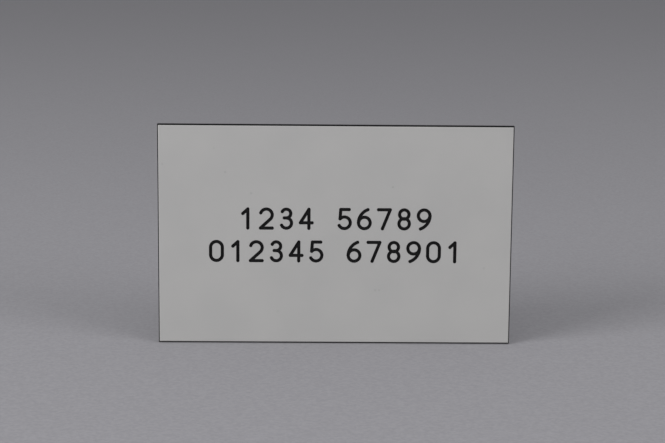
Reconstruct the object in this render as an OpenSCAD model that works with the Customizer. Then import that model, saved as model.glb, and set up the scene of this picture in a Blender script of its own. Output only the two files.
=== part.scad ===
// Engraved name plate for a mailbox, cut from engraving laminate: a thin silver-grey face
// ply bonded to a black core. The bevelled edges and the grooves of the numerals bare the core.
// The plate stands upright: X runs across it, Z up it, and its front faces -Y. The origin is
// the middle of the flat back, which is stuck to the mailbox.

/* [Plate] */
// Width of the plate
plate_w = 80; // [60:1:140]
// Height of the plate
plate_h = 50; // [16:1:100]
// Thickness of the laminate, face ply and core together
plate_t = 1.6; // [0.8:0.1:3.2]
// Thickness of the face ply
face_t = 0.12; // [0.05:0.01:0.25]
// Width of the 45 degree bevel along the four front edges
bevel_w = 0.35; // [0.1:0.05:0.6]

/* [Numerals] */
// Numerals of the upper row, with a space between two groups
upper_row = "1234 56789"; // [1234 56789, 1234 567, 12]
// Numerals of the lower row
lower_row = "012345 678901"; // [012345 678901, 0123 456, 34]
// Height of a numeral over its strokes
numeral_h = 5.1; // [4.2:0.1:7]
// Width of a numeral over its strokes
numeral_w = 3.4; // [2.6:0.1:4.2]
// Clear space between two numerals
numeral_gap = 1.1; // [0.4:0.05:2.5]
// Clear space between two groups of numerals
group_gap = 5.2; // [1:0.1:12]
// Clear space between the two rows
row_gap = 2.4; // [0.5:0.05:8]

/* [Grooves] */
// Width of a groove at the face
stroke_w = 0.75; // [0.65:0.01:1]
// Width of a groove's flat floor, as wide as the cutter's tip
floor_w = 0.6; // [0.3:0.02:0.64]
// Depth that a groove goes into the core, below the face ply
core_bite = 0.18; // [0.05:0.01:0.3]
// How much a groove widens on each side where the cutter stops or turns
dwell = 0.01; // [0.005:0.005:0.03]

/* [Hidden] */
// Facets of a full circle in a preview
$fn = 16;

// The cutter starts this far in front of the face, on the same cone
lead_in = 0.15;

groove_d = face_t + core_bite;
half_floor = floor_w / 2;
half_stroke = stroke_w / 2;
half_mouth = half_stroke + (half_stroke - half_floor) * lead_in / groove_d;

// A numeral is the path of the cutter's middle, half a stroke inside the numeral's outline:
// x runs from -path_r to path_r and y from 0 to path_h
path_h = numeral_h - stroke_w;
path_r = (numeral_w - stroke_w) / 2;

// The bowls of a three and an eight, the lower one a little larger, meet at the waist
low_share = 0.54;
low_r = low_share * path_h / 2;
high_r = path_h / 2 - low_r;
waist = [0, 2 * low_r];
// The two bowls of an eight run this far into each other
bowl_lap = 0.12;
// The riser of a six leaves this far outside the left side of its bowl
riser_lead = 0.03;

// The cutter's moves: a stop at a point, a line, and an arc from one angle to another
function stop(at) = [at];
function line(from, to) = [from, to];
function arc(centre, r, from, to) = [centre, r, from, to];
// Lines through all the points in turn, with a stop at each
function walk(points) =
    concat(
        [for (i = [1 : len(points) - 1]) line(points[i - 1], points[i])],
        [for (p = points) stop(p)]
    );

function on_circle(centre, r, angle) = centre + r * [cos(angle), sin(angle)];
// The angle at which a line from the point p touches a circle, on the circle's right seen from p
function touch_angle(centre, r, p) =
    let (v = p - centre)
    atan2(v[1], v[0]) + acos(r / norm(v));

function zero() =
    let (low = [0, path_r], high = [0, path_h - path_r], side = [path_r, 0])
    concat(
        [arc(low, path_r, 180, 360), arc(high, path_r, 0, 180)],
        walk([low - side, high - side]),
        walk([low + side, high + side])
    );

function one() =
    let (foot = [0.25 * path_r, 0], top = [foot[0], path_h], flag = [-0.6 * path_r, 0.76 * path_h])
    walk([foot, top, flag]);

function two() =
    let (high = [0, path_h - path_r], foot = [-path_r, 0], toe = [path_r, 0])
    let (start = 160, end = touch_angle(high, path_r, foot))
    concat(
        [arc(high, path_r, end, start), stop(on_circle(high, path_r, start))],
        walk([on_circle(high, path_r, end), foot, toe])
    );

function three() =
    let (low = [0, low_r], high = [0, path_h - high_r], open = 155)
    concat(
        [arc(low, low_r, -open, 90), stop(on_circle(low, low_r, -open))],
        [arc(high, high_r, -90, open), stop(on_circle(high, high_r, open))],
        walk([waist - [0.35 * path_r, 0], waist])
    );

function four() =
    let (foot = [0.45 * path_r, 0], top = [foot[0], path_h], bar_y = 0.29 * path_h)
    walk([foot, top, [-path_r, bar_y], [path_r, bar_y]]);

function five() =
    let (low = [0, path_r], start = -152, end = 138, turn = on_circle(low, path_r, end))
    concat(
        [arc(low, path_r, start, end), stop(on_circle(low, path_r, start))],
        walk([turn, [turn[0] + 0.12 * path_r, path_h], [0.8 * path_r, path_h]])
    );

// The riser of a six leaves the left of its bowl straight up and bends over to its tip
function six() =
    let (r = path_r - riser_lead / 2, bowl = [riser_lead / 2, r])
    let (left = [-path_r, r], tip = [0.6 * path_r, path_h], v = tip - left)
    let (riser_r = v * v / (2 * v[0]), lean = asin(v[1] / riser_r))
    [
        arc(bowl, r, 0, 360),
        arc(left + [riser_r, 0], riser_r, 180 - lean, 180),
        stop(left),
        stop(tip)
    ];

function seven() = walk([[-path_r, path_h], [path_r, path_h], [-0.3 * path_r, 0]]);

function eight() =
    let (r = high_r + bowl_lap / 2)
    [arc([0, low_r], low_r, 0, 360), arc([0, path_h - r], r, 0, 360)];

function moves(numeral) =
    numeral == "1" ? one()
    : numeral == "2" ? two()
    : numeral == "3" ? three()
    : numeral == "4" ? four()
    : numeral == "5" ? five()
    : numeral == "6" ? six()
    : numeral == "7" ? seven()
    : numeral == "8" ? eight()
    : zero();

// A groove across its length, from its floor to the lead-in in front of the face
module groove_section() {
    polygon([
        [-half_floor, -groove_d],
        [half_floor, -groove_d],
        [half_mouth, lead_in],
        [-half_mouth, lead_in]
    ]);
}

module cut_at(p) {
    translate([p[0], p[1], -groove_d])
        cylinder(h = groove_d + lead_in, r1 = half_floor + dwell, r2 = half_mouth + dwell);
}

module cut_along(from, to) {
    v = to - from;
    translate([from[0], from[1], 0])
        rotate([90, 0, 90 + atan2(v[1], v[0])])
            linear_extrude(height = norm(v))
                groove_section();
}

module cut_around(centre, r, from, to) {
    translate([centre[0], centre[1], 0])
        rotate([0, 0, from])
            rotate_extrude(angle = to - from)
                translate([r, 0])
                    groove_section();
}

// The grooves of one numeral, with the lower end of its path at the origin
module numeral_cut(numeral) {
    // A nine is a six turned upside down
    upside_down = numeral == "9";
    translate([0, upside_down ? path_h : 0, 0])
        rotate([0, 0, upside_down ? 180 : 0])
            for (move = moves(upside_down ? "6" : numeral))
                if (len(move) == 1) cut_at(move[0]);
                else if (len(move) == 2) cut_along(move[0], move[1]);
                else cut_around(move[0], move[1], move[2], move[3]);
}

// Distance from the left end of a row to the left side of its character i
function left_of(row, i) =
    i == 0 ? 0
    : left_of(row, i - 1) + (row[i - 1] == " " ? group_gap - numeral_gap : numeral_w + numeral_gap);

module row_cut(row) {
    row_w = left_of(row, len(row)) - numeral_gap;
    for (i = [0 : len(row) - 1])
        if (row[i] != " ")
            translate([left_of(row, i) + numeral_w / 2 - row_w / 2, 0, 0])
                numeral_cut(row[i]);
}

// Both rows, centred on the face
module engraving() {
    translate([0, row_gap / 2 + half_stroke, plate_t]) row_cut(upper_row);
    translate([0, -row_gap / 2 - half_stroke - path_h, plate_t]) row_cut(lower_row);
}

// The plate's section across a side of length w, with both front corners bevelled
module bevelled_section(w) {
    polygon([
        [-w / 2, 0],
        [w / 2, 0],
        [w / 2, plate_t - bevel_w],
        [w / 2 - bevel_w, plate_t],
        [bevel_w - w / 2, plate_t],
        [-w / 2, plate_t - bevel_w]
    ]);
}

// The engraved plate between two heights above its back, lying on its back
module ply(bottom, top) {
    difference() {
        intersection() {
            rotate([90, 0, 0])
                linear_extrude(height = plate_h, center = true)
                    bevelled_section(plate_w);
            rotate([90, 0, 90])
                linear_extrude(height = plate_w, center = true)
                    bevelled_section(plate_h);
            translate([-plate_w / 2, -plate_h / 2, bottom])
                cube([plate_w, plate_h, top - bottom]);
        }
        engraving();
    }
}

module core() {
    color([0.04, 0.04, 0.045])
        rotate([90, 0, 0])
            ply(0, plate_t - face_t);
}

module face_layer() {
    color([0.65, 0.65, 0.64])
        rotate([90, 0, 0])
            ply(plate_t - face_t, plate_t);
}

core();
face_layer();
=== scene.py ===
"""Finish, light and view of an engraved mailbox name plate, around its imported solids.

The plate is two-ply engraving laminate, a satin silver-grey face ply bonded to a black core.
Each ply keeps the form of its solid, with the arrises round its outline eased as a cutter
leaves them, and gets its own finish. It stands on a plain grey floor in soft studio light.
Lengths are in metres unless a name or a docstring says millimetres.
"""

import logging
import math
from dataclasses import dataclass, field
from enum import Enum
from typing import Protocol

import bmesh
import bpy
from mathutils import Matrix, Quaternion, Vector


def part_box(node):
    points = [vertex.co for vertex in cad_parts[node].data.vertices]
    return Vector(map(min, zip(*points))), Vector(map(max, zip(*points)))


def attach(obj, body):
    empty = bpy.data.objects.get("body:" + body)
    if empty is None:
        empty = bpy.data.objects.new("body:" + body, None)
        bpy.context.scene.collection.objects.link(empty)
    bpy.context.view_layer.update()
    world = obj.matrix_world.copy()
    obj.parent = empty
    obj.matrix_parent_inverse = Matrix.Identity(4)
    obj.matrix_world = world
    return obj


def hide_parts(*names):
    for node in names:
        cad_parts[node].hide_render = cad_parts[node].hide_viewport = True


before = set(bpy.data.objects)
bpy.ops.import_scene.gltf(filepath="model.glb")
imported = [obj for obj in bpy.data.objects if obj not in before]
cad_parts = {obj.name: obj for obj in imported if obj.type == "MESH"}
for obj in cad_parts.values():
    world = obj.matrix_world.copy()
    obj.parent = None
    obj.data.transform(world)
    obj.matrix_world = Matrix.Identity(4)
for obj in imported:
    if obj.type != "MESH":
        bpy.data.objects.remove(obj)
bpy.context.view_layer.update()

MM = 0.001
BODY = "root"

Colour = tuple[float, float, float]
Place = tuple[float, float, float]
Span = tuple[float, float]
Socket = bpy.types.NodeSocket

WHOLE: Span = (0.0, 1.0)
# Nearly all of a cloudy pattern's values lie in this span
USUAL_NOISE: Span = (0.3, 0.7)

log = logging.getLogger("name_plate")


def in_metres(place_mm: Place) -> Vector:
    """Turns a place in millimetres into a vector in metres.

    Args:
        place_mm: the place in the plate's frame, in millimetres.

    Returns:
        The same place in metres.
    """
    return Vector(place_mm) * MM


def around(middle: float, swing: float) -> Span:
    """Gives the span that reaches as far on both sides of a value."""
    return middle - swing, middle + swing


class Ray(Enum):
    """The kinds of ray that see the far floor's tone in place of the room's light."""

    CAMERA = "Is Camera Ray"
    GLOSSY = "Is Glossy Ray"
    TRANSMISSION = "Is Transmission Ray"


class Maths(Enum):
    """The ways in which a shader combines two values, or changes one."""

    SUM = "ADD"
    DIFFERENCE = "SUBTRACT"
    PRODUCT = "MULTIPLY"
    LARGER = "MAXIMUM"
    SIZE = "ABSOLUTE"
    IS_UNDER = "LESS_THAN"
    IS_OVER = "GREATER_THAN"


class Finish(Protocol):
    """A finish that can be made into a material."""

    def material(self) -> bpy.types.Material:
        """Makes the finish's material."""


class Shader:
    """One material's node tree, whose patterns all follow the piece's object coordinates."""

    # The normal's share along Y at which a wall passes into a face parallel to the front
    LEVEL_FACING: Span = (0.8, 0.95)

    def __init__(self, name: str) -> None:
        """Starts a material with its surface shader and its place on the piece.

        Args:
            name: the material's name.
        """
        self.material = bpy.data.materials.new(name)
        self.material.use_nodes = True
        self.tree = self.material.node_tree
        self.surface = self.tree.nodes["Principled BSDF"]
        where = self.node("ShaderNodeTexCoord")
        self.place = where.outputs["Object"]
        self.normal = where.outputs["Normal"]

    def node(self, kind: str, **settings: object) -> bpy.types.Node:
        """Adds a node.

        Args:
            kind: the node's type in Blender.
            settings: properties to set on it.

        Returns:
            The new node.
        """
        made = self.tree.nodes.new(kind)
        for name, value in settings.items():
            setattr(made, name, value)
        return made

    def feed(self, socket: Socket, value: Socket | float | Colour) -> None:
        """Links a socket to another, or sets it to a constant.

        Args:
            socket: the input socket.
            value: an output socket, a number or a colour.
        """
        if isinstance(value, Socket):
            self.tree.links.new(value, socket)
        elif isinstance(value, tuple) and len(socket.default_value) == 4:
            socket.default_value = (*value, 1.0)
        else:
            socket.default_value = value

    def stretched(self, x: float, y: float, z: float) -> Socket:
        """Scales the place on the piece, so that a pattern is drawn out along some axes.

        Args:
            x: scale along X.
            y: scale along Y.
            z: scale along Z.

        Returns:
            The scaled place.
        """
        mapping = self.node("ShaderNodeMapping")
        self.feed(mapping.inputs["Vector"], self.place)
        mapping.inputs["Scale"].default_value = (x, y, z)
        return mapping.outputs["Vector"]

    def noise(self, grain: float, detail: float = 2.0, place: Socket | None = None) -> Socket:
        """Makes a cloudy pattern.

        Args:
            grain: the size of its patches.
            detail: how many finer layers it holds.
            place: the coordinates to draw it on, the piece's own if none are given.

        Returns:
            A value around one half.
        """
        texture = self.node("ShaderNodeTexNoise")
        self.feed(texture.inputs["Vector"], place or self.place)
        self.feed(texture.inputs["Scale"], 1.0 / grain)
        self.feed(texture.inputs["Detail"], detail)
        return texture.outputs["Fac"]

    def between(self, value: Socket, given: Span, result: Span) -> Socket:
        """Maps a value from one span to another, and holds it there.

        Args:
            value: the value to map.
            given: the span that it comes from.
            result: the span that it goes to.

        Returns:
            The mapped value.
        """
        mapped = self.node("ShaderNodeMapRange")
        names = ("Value", "From Min", "From Max", "To Min", "To Max")
        for name, part in zip(names, (value, *given, *result)):
            self.feed(mapped.inputs[name], part)
        return mapped.outputs["Result"]

    def maths(self, how: Maths, first: Socket | float, second: Socket | float = 0.0) -> Socket:
        """Combines two values.

        Args:
            how: the way in which they are combined.
            first: the first value.
            second: the second value, which a size doesn't use.

        Returns:
            The result.
        """
        made = self.node("ShaderNodeMath", operation=how.value)
        self.feed(made.inputs[0], first)
        self.feed(made.inputs[1], second)
        return made.outputs["Value"]

    def part(self, vector: Socket, axis: str) -> Socket:
        """Takes one part out of a vector.

        Args:
            vector: the vector.
            axis: X, Y or Z.

        Returns:
            The part along that axis.
        """
        parts = self.node("ShaderNodeSeparateXYZ")
        self.feed(parts.inputs["Vector"], vector)
        return parts.outputs[axis]

    def parallel(self) -> Socket:
        """Tells how far a face lies parallel to the plate's front.

        Returns:
            One on the front, the back and the groove floors, and zero on walls and edges.
        """
        facing = self.maths(Maths.SIZE, self.part(self.normal, "Y"))
        return self.between(facing, self.LEVEL_FACING, WHOLE)

    def within(self, half_x: float, half_z: float) -> Socket:
        """Marks a rectangle around the middle of the plate.

        Args:
            half_x: half of its width.
            half_z: half of its height.

        Returns:
            One inside the rectangle and zero outside it.
        """
        from_middle_x = self.maths(Maths.SIZE, self.part(self.place, "X"))
        from_middle_z = self.maths(Maths.SIZE, self.part(self.place, "Z"))
        in_x = self.maths(Maths.IS_UNDER, from_middle_x, half_x)
        in_z = self.maths(Maths.IS_UNDER, from_middle_z, half_z)
        return self.maths(Maths.PRODUCT, in_x, in_z)

    def blend(self, share: Socket, first: Socket | Colour, second: Socket | Colour) -> Socket:
        """Mixes two colours.

        Args:
            share: how much of the second colour shows.
            first: the first colour.
            second: the second colour.

        Returns:
            The mixed colour.
        """
        mixer = self.node("ShaderNodeMix", data_type="RGBA")
        self.feed(mixer.inputs["Factor"], share)
        colours = [s for s in mixer.inputs if s.type == "RGBA"]
        self.feed(colours[0], first)
        self.feed(colours[1], second)
        return next(s for s in mixer.outputs if s.type == "RGBA")

    def bump(self, height: Socket, depth: float, under: Socket | None = None) -> Socket:
        """Turns a height pattern into a bumped normal.

        Args:
            height: the pattern.
            depth: how deep its full range is.
            under: the normal that it is laid on.

        Returns:
            The bumped normal.
        """
        made = self.node("ShaderNodeBump")
        self.feed(made.inputs["Height"], height)
        made.inputs["Distance"].default_value = depth
        if under is not None:
            self.feed(made.inputs["Normal"], under)
        return made.outputs["Normal"]


@dataclass(frozen=True)
class Speck:
    """A faint dull fleck in the face film, at a place in millimetres on the face."""

    x_mm: float
    z_mm: float
    dulling: float
    radius_mm: float = 0.35


@dataclass(frozen=True)
class SatinSilver:
    """The face ply's satin silver-grey film: a fine matt grain, a few faint flecks, dark cut walls."""

    colour: Colour = (0.428, 0.424, 0.415)
    shade: Colour = (0.410, 0.407, 0.400)
    fleck: Colour = (0.25, 0.25, 0.25)
    metallic: float = 0.3
    roughness: float = 0.34
    roughness_swing: float = 0.04
    cloud: float = 14 * MM
    cloud_span: Span = (0.35, 0.65)
    grain: float = 0.07 * MM
    grain_depth: float = 0.0016 * MM
    # The film's cut walls are dull, and dark inside the engraved field
    cut_wall: Colour = (0.010, 0.010, 0.0105)
    cut_roughness: float = 0.60
    # Half of the engraved field's width and height
    field_x: float = 34 * MM
    field_z: float = 11 * MM
    # Where the front lies along Y
    face_y_mm: float = -1.6
    specks: tuple[Speck, ...] = (
        Speck(-27.3, 19.7, dulling=0.20),
        Speck(-38.9, 16.0, dulling=0.34),
        Speck(-24.8, 14.3, dulling=0.52),
        Speck(-19.0, 9.5, dulling=0.40, radius_mm=0.40),
        Speck(12.9, 11.1, dulling=0.56),
        Speck(9.2, -12.6, dulling=0.36, radius_mm=0.40),
        Speck(10.1, -12.6, dulling=0.36),
        Speck(33.8, -7.4, dulling=0.28, radius_mm=0.40),
        Speck(-12.9, -17.6, dulling=0.20, radius_mm=0.40),
    )

    def flecks(self, shader: Shader) -> Socket:
        """Sums the specks into one pattern.

        Args:
            shader: the material being made.

        Returns:
            How dull the film is at each place.
        """
        total: Socket | float = 0.0
        for speck in self.specks:
            apart = shader.node("ShaderNodeVectorMath", operation="DISTANCE")
            shader.feed(apart.inputs[0], shader.place)
            apart.inputs[1].default_value = in_metres((speck.x_mm, self.face_y_mm, speck.z_mm))
            reach = (0.0, speck.radius_mm * MM)
            spot = shader.between(apart.outputs["Value"], reach, (speck.dulling, 0.0))
            total = shader.maths(Maths.SUM, spot, total)
        return total

    def material(self) -> bpy.types.Material:
        """Makes the film's material.

        Returns:
            The material.
        """
        shader = Shader("satin_silver_film")
        clouds = shader.between(shader.noise(self.cloud, detail=3.0), self.cloud_span, WHOLE)
        film = shader.blend(clouds, self.colour, self.shade)
        flecked = shader.blend(self.flecks(shader), film, self.fleck)
        front = shader.parallel()
        wall = shader.maths(Maths.DIFFERENCE, 1.0, front)
        in_groove = shader.maths(Maths.PRODUCT, wall, shader.within(self.field_x, self.field_z))
        shader.feed(shader.surface.inputs["Base Color"], shader.blend(in_groove, flecked, self.cut_wall))
        grain = shader.noise(self.grain, detail=1.0)
        satin = shader.between(grain, USUAL_NOISE, around(self.roughness, self.roughness_swing))
        dull = shader.maths(Maths.PRODUCT, wall, self.cut_roughness)
        shader.feed(shader.surface.inputs["Roughness"], shader.maths(Maths.LARGER, satin, dull))
        matted = shader.bump(shader.maths(Maths.PRODUCT, grain, front), self.grain_depth)
        shader.feed(shader.surface.inputs["Normal"], matted)
        shader.surface.inputs["Metallic"].default_value = self.metallic
        return shader.material


@dataclass(frozen=True)
class BlackCore:
    """The core's black plastic: a fine matt back, cutter marks on its edges and groove floors."""

    colour: Colour = (0.0036, 0.0036, 0.0039)
    scuffed: Colour = (0.0080, 0.0080, 0.0085)
    roughness: float = 0.58
    roughness_swing: float = 0.08
    gloss: float = 0.18
    # The part of the grain that scuffs the cut edges, and how strongly it does
    scuff_span: Span = (0.45, 0.75)
    scuff_share: Span = (0.0, 0.6)
    back: Colour = (0.0125, 0.0125, 0.0132)
    back_shade: Colour = (0.0185, 0.0185, 0.0192)
    back_cloud: float = 8 * MM
    back_span: Span = (0.8, 1.2)
    # Level faces this close to the back are the back itself
    back_skin: float = 0.2 * MM
    # The cutter's teeth leave marks of this pitch, drawn out along its way through the plate
    tooth_pitch: float = 0.16 * MM
    tooth_stretch: float = 0.04
    tooth_depth: float = 0.006 * MM
    back_grain: float = 0.12 * MM
    back_depth: float = 0.005 * MM

    def material(self) -> bpy.types.Material:
        """Makes the plastic's material.

        Returns:
            The material.
        """
        shader = Shader("black_core_plastic")
        fine = 1.0 / self.tooth_pitch
        across = shader.stretched(fine, self.tooth_stretch * fine, fine)
        teeth = shader.noise(1.0, detail=1.0, place=across)
        grain = shader.noise(self.back_grain, detail=3.0)
        flat = shader.parallel()
        cut = shader.maths(Maths.DIFFERENCE, 1.0, flat)
        scuffs = shader.between(grain, self.scuff_span, self.scuff_share)
        cut_tone = shader.blend(scuffs, self.colour, self.scuffed)
        clouds = shader.maths(Maths.SUM, shader.noise(self.back_cloud, detail=3.0), grain)
        back_tone = shader.blend(shader.between(clouds, self.back_span, WHOLE), self.back, self.back_shade)
        at_back = shader.maths(Maths.IS_OVER, shader.part(shader.place, "Y"), -self.back_skin)
        on_back = shader.maths(Maths.PRODUCT, at_back, flat)
        shader.feed(shader.surface.inputs["Base Color"], shader.blend(on_back, cut_tone, back_tone))
        dull = shader.between(grain, USUAL_NOISE, around(self.roughness, self.roughness_swing))
        shader.feed(shader.surface.inputs["Roughness"], dull)
        milled = shader.bump(shader.maths(Maths.PRODUCT, teeth, cut), self.tooth_depth)
        matt = shader.bump(shader.maths(Maths.PRODUCT, grain, flat), self.back_depth, under=milled)
        shader.feed(shader.surface.inputs["Normal"], matt)
        shader.surface.inputs["Specular IOR Level"].default_value = self.gloss
        return shader.material


@dataclass(frozen=True)
class GreyPaper:
    """The plain grey paper of the studio floor."""

    colour: Colour = (0.320, 0.315, 0.336)
    roughness: float = 0.85
    fibre: float = 0.8 * MM
    swing: float = 0.13

    def material(self) -> bpy.types.Material:
        """Makes the paper's material.

        Returns:
            The material.
        """
        shader = Shader("grey_paper")
        darker = tuple(part * (1.0 - self.swing) for part in self.colour)
        fibres = shader.between(shader.noise(self.fibre), USUAL_NOISE, WHOLE)
        shader.feed(shader.surface.inputs["Base Color"], shader.blend(fibres, self.colour, darker))
        shader.surface.inputs["Roughness"].default_value = self.roughness
        return shader.material

    def seen_from_afar(self, light: Colour) -> Colour:
        """Gives the tone that the paper's grain blends to at a distance.

        Args:
            light: the even light that falls on the paper.

        Returns:
            The tone.
        """
        blended = 1.0 - self.swing / 2
        red, green, blue = (part * lit * blended for part, lit in zip(self.colour, light))
        return red, green, blue


@dataclass
class Ply:
    """One ply of the laminate, made from its solid.

    Its solid's loose triangles are merged, the sharp arrises round its outline are eased, and
    its groove walls are shaded smooth. The plane in which the plies meet is left as it is.
    """

    node: str
    piece: str
    slot: str
    finish: Finish
    joint_y: float
    ease: float
    rounds: int = 3
    outline_zone: float = 2 * MM
    weld: float = 0.0001 * MM
    joint_zone: float = 0.001 * MM
    sharp: float = math.radians(30)
    mitre_slope: float = 0.5
    body: bpy.types.Object | None = field(default=None, init=False)

    def build(self) -> bpy.types.Object:
        """Builds the ply's mesh and object.

        Returns:
            The ply's object, at the origin.
        """
        mesh = bpy.data.meshes.new(self.piece)
        work = bmesh.new()
        work.from_mesh(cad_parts[self.node].data)
        bmesh.ops.remove_doubles(work, verts=work.verts, dist=self.weld)
        bmesh.ops.bevel(
            work,
            geom=self.arrises(work),
            offset=self.ease,
            offset_type="OFFSET",
            segments=self.rounds,
            profile=0.5,
            affect="EDGES",
            clamp_overlap=True,
            material=-1,
        )
        self.crease(work)
        work.to_mesh(mesh)
        work.free()
        self.body = bpy.data.objects.new(self.piece, mesh)
        bpy.context.scene.collection.objects.link(self.body)
        evened = self.body.modifiers.new("even_normals", "WEIGHTED_NORMAL")
        evened.keep_sharp = True
        return self.body

    def level(self, face: bmesh.types.BMFace) -> int | None:
        """Tells at which depth a face lies flat, even where it is too thin for a true normal.

        Args:
            face: a face of the ply.

        Returns:
            Its depth in welding steps, or None where it isn't parallel to the front.
        """
        depths = [round(vert.co.y / self.weld) for vert in face.verts]
        return depths[0] if max(depths) - min(depths) <= 1 else None

    def crease(self, work: bmesh.types.BMesh) -> None:
        """Shades the mesh smooth, but for the rims of its flat faces and its other sharp edges.

        Args:
            work: the ply's finished mesh.
        """
        for face in work.faces:
            face.smooth = True
        for edge in work.edges:
            levels = [self.level(face) for face in edge.link_faces]
            if levels[0] is None and levels[1] is None:
                edge.smooth = edge.calc_face_angle(0.0) < self.sharp
            else:
                edge.smooth = levels[0] == levels[1]

    def arrises(self, work: bmesh.types.BMesh) -> list[bmesh.types.BMEdge]:
        """Finds the sharp edges along the ply's outline that a cutter's pass leaves eased.

        Args:
            work: the ply's merged mesh.

        Returns:
            The edges along the outline, apart from the short mitres at the corners.
        """
        lowest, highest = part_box(self.node)
        inner_x = highest.x - self.outline_zone
        inner_z = highest.z - self.outline_zone

        def on_outline(edge: bmesh.types.BMEdge) -> bool:
            """Tells whether both ends of an edge are in the outline's zone."""
            return all(abs(v.co.x) > inner_x or abs(v.co.z) > inner_z for v in edge.verts)

        def on_joint(edge: bmesh.types.BMEdge) -> bool:
            """Tells whether an edge lies where the two plies meet."""
            return all(abs(v.co.y - self.joint_y) < self.joint_zone for v in edge.verts)

        def on_mitre(edge: bmesh.types.BMEdge) -> bool:
            """Tells whether an edge runs in along a mitred corner."""
            run = edge.verts[1].co - edge.verts[0].co
            return all(abs(part) > self.mitre_slope * run.length for part in run)

        return [
            edge
            for edge in work.edges
            if edge.calc_face_angle(0.0) > self.sharp
            and on_outline(edge)
            and not on_joint(edge)
            and not on_mitre(edge)
        ]

    def dress(self) -> None:
        """Gives the ply its finish and sets it in the plate's frame."""
        self.body.data.materials.clear()
        self.body.data.materials.append(self.finish.material())
        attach(self.body, BODY)
        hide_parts(self.node)
        log.info("%s: %d faces, eased %.3f mm", self.piece, len(self.body.data.polygons), self.ease / MM)


@dataclass
class NamePlate:
    """The plate: a black core ply and the thin silver face ply bonded to its front."""

    core_ease: float = 0.06 * MM
    face_ease: float = 0.03 * MM
    film: SatinSilver = field(default_factory=SatinSilver)
    plastic: BlackCore = field(default_factory=BlackCore)

    def plies(self) -> tuple[Ply, Ply]:
        """Lays out the plies on the plane where they meet.

        Returns:
            The core and the face ply.
        """
        joint_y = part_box("core")[0].y
        return (
            Ply("core", "black_core", "core", self.plastic, joint_y, self.core_ease),
            Ply("face_layer", "silver_face", "face_layer", self.film, joint_y, self.face_ease),
        )

    def make(self) -> None:
        """Builds and dresses both plies."""
        for ply in self.plies():
            ply.build()
            ply.dress()


@dataclass(frozen=True)
class Lamp:
    """A soft lamp of the studio. Places and sizes are in metres."""

    name: str
    place: Place
    aim: Place
    width: float
    height: float
    power: float

    def hang(self) -> bpy.types.Object:
        """Hangs the lamp, out of the camera's sight.

        Returns:
            The lamp's object.
        """
        light = bpy.data.lights.new(self.name, "AREA")
        light.shape = "RECTANGLE"
        light.size = self.width
        light.size_y = self.height
        light.energy = self.power
        lamp = bpy.data.objects.new(self.name, light)
        bpy.context.scene.collection.objects.link(lamp)
        lamp.location = Vector(self.place)
        lamp.rotation_mode = "QUATERNION"
        lamp.rotation_quaternion = (Vector(self.aim) - Vector(self.place)).to_track_quat("-Z", "Y")
        lamp.visible_camera = False
        log.info("%s: %.2f W", self.name, self.power)
        return lamp


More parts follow.
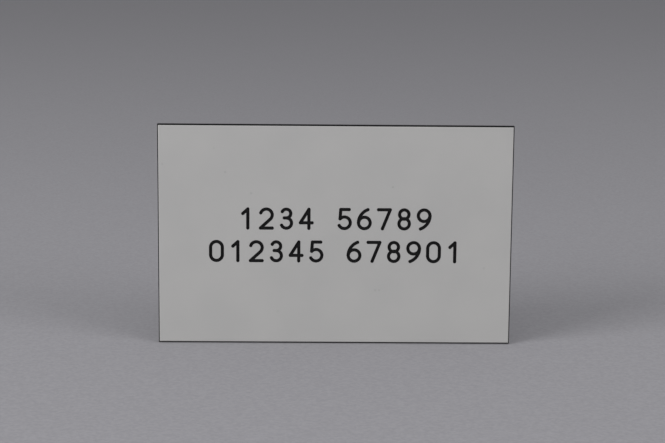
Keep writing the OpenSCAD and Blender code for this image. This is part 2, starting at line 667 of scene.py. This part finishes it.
@dataclass
class Studio:
    """The grey floor, the soft lamps and the even light of the room."""

    paper: GreyPaper = field(default_factory=GreyPaper)
    floor_reach: float = 12.0
    # Wide enough for a dark line under the plate, and too low to be looked through from behind
    floor_gap: float = 0.12 * MM
    room_light: Colour = (0.500, 0.500, 0.507)
    lamps: tuple[Lamp, ...] = (
        Lamp("left_softbox", (-0.95, -0.70, 0.40), (0.0, 0.0, 0.0), 0.7, 0.6, 12.6),
        Lamp("right_softbox", (0.95, -0.70, 0.40), (0.0, 0.0, 0.0), 0.7, 0.6, 6.4),
        Lamp("front_softbox", (0.0, -0.70, 0.80), (0.0, 0.0, 0.0), 0.8, 0.5, 0.8),
    )

    def lay_floor(self) -> None:
        """Lays the floor a hair under the plate's lower edge, for the dark line of their contact."""
        mesh = bpy.data.meshes.new("floor")
        work = bmesh.new()
        bmesh.ops.create_grid(work, x_segments=1, y_segments=1, size=self.floor_reach / 2)
        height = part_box("core")[0].z - self.floor_gap
        bmesh.ops.translate(work, verts=work.verts, vec=(0.0, 0.0, height))
        work.to_mesh(mesh)
        work.free()
        floor = bpy.data.objects.new("floor", mesh)
        bpy.context.scene.collection.objects.link(floor)
        mesh.materials.append(self.paper.material())
        log.info("floor: %.0f m across", self.floor_reach)

    def fill_room(self) -> None:
        """Fills the room with even light, and shows the far floor's own tone beyond the floor."""
        world = bpy.data.worlds.new("room")
        bpy.context.scene.world = world
        world.use_nodes = True
        tree = world.node_tree
        lighting = tree.nodes["Background"]
        lighting.inputs["Color"].default_value = (*self.room_light, 1.0)
        shown = tree.nodes.new("ShaderNodeBackground")
        shown.inputs["Color"].default_value = (*self.paper.seen_from_afar(self.room_light), 1.0)
        rays = tree.nodes.new("ShaderNodeLightPath")
        seen: Socket = rays.outputs[Ray.CAMERA.value]
        for ray in (Ray.GLOSSY, Ray.TRANSMISSION):
            either = tree.nodes.new("ShaderNodeMath")
            either.operation = Maths.LARGER.value
            tree.links.new(seen, either.inputs[0])
            tree.links.new(rays.outputs[ray.value], either.inputs[1])
            seen = either.outputs["Value"]
        chosen = tree.nodes.new("ShaderNodeMixShader")
        tree.links.new(seen, chosen.inputs["Fac"])
        tree.links.new(lighting.outputs["Background"], chosen.inputs[1])
        tree.links.new(shown.outputs["Background"], chosen.inputs[2])
        tree.links.new(chosen.outputs["Shader"], tree.nodes["World Output"].inputs["Surface"])

    def set_up(self) -> None:
        """Sets up the whole studio."""
        self.lay_floor()
        self.fill_room()
        for lamp in self.lamps:
            lamp.hang()


@dataclass(frozen=True)
class Viewpoint:
    """The photograph's viewpoint: slightly above the plate and a little to its left."""

    place_mm: Place = (-6.67, -387.35, 70.80)
    aim_mm: Place = (-0.63, -1.48, 3.15)
    roll: float = math.radians(0.506)
    lens_mm: float = 94.0
    sensor_mm: float = 36.0
    nearest: float = 0.02
    farthest: float = 40.0

    def set_camera(self) -> None:
        """Sets up the camera and makes it the scene's own."""
        data = bpy.data.cameras.new("camera")
        data.sensor_fit = "HORIZONTAL"
        data.sensor_width = self.sensor_mm
        data.lens = self.lens_mm
        data.clip_start = self.nearest
        data.clip_end = self.farthest
        camera = bpy.data.objects.new("camera", data)
        bpy.context.scene.collection.objects.link(camera)
        camera.location = in_metres(self.place_mm)
        forward = in_metres(self.aim_mm) - in_metres(self.place_mm)
        upright = forward.to_track_quat("-Z", "Y")
        camera.rotation_mode = "QUATERNION"
        camera.rotation_quaternion = upright @ Quaternion((0.0, 0.0, 1.0), self.roll)
        bpy.context.scene.camera = camera


def main() -> None:
    """Builds the view, the plate and the studio in order."""
    logging.basicConfig(level=logging.INFO, format="%(name)s: %(message)s")
    bpy.context.scene.view_settings.view_transform = "Standard"
    Viewpoint().set_camera()
    NamePlate().make()
    Studio().set_up()


if __name__ == "__main__":
    main()
